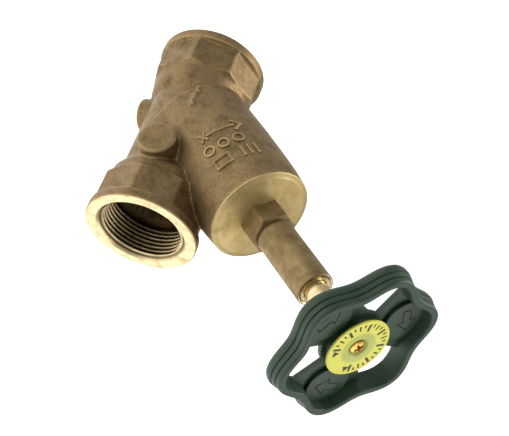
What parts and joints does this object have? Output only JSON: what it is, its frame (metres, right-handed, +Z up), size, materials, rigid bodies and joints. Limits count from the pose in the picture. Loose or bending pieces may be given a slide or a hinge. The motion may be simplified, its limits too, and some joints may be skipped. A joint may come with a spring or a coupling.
{
  "type": "globe valve",
  "caption": "Slanted-seat globe valve with threaded sockets, hexagon bonnet with a long stem tube, rising stem and lobed handwheel.",
  "frame": {"origin": "on the pipe axis, midway between the two socket end faces", "axes": "+X along the pipe axis in the flow direction, +Z up in the plane of the two axes, bonnet axis leaning 45 degrees from +Z towards +X"},
  "size_m": [0.1805, 0.0762, 0.1704],
  "materials": {
    "gunmetal": "sand cast",
    "brass_bonnet": "turned and blasted",
    "brass_turned": "turned",
    "stainless": "turned",
    "seal_rubber": "moulded",
    "white_plastic": "turned",
    "green_plastic": "moulded, fine grain",
    "yellow_plastic": "printed"
  },
  "bodies": {
    "valve_body": {"valve_body": "gunmetal", "seat_ring": "stainless", "bonnet": "brass_bonnet", "bonnet_o_ring": "seal_rubber", "lower_stem_o_ring": "seal_rubber", "upper_stem_o_ring": "seal_rubber", "gland_o_ring": "seal_rubber", "stem_guide_bush": "white_plastic", "gland_bush": "brass_turned", "wiper_ring": "seal_rubber", "gland_nut": "brass_turned"},
    "plug": {"plug": "brass_turned", "plug_keeper_ring": "stainless", "seat_washer": "seal_rubber", "washer_plate": "stainless", "washer_nut": "brass_turned", "slide_washer": "white_plastic"},
    "stem": {"stem": "brass_turned", "handwheel": "green_plastic", "handwheel_insert": "brass_turned", "spring_washer": "stainless", "label_disc": "yellow_plastic", "handwheel_screw": "brass_turned"}
  },
  "joints": [
    {"name": "plug_lift", "type": "slide", "parent": "valve_body", "child": "plug", "axis": [0.7071, 0, 0.7071], "range_m": [-0.014, 0.002]},
    {"name": "handwheel_turn", "type": "hinge", "parent": "plug", "child": "stem", "pos_m": [0.09927, 0, 0.11667], "axis": [0.7071, 0, 0.7071], "range_deg": [-1260, 180]}
  ],
  "couplings": [
    {"joint": "plug_lift", "follows": "handwheel_turn", "m_per_rad": 0.00063662}
  ]
}
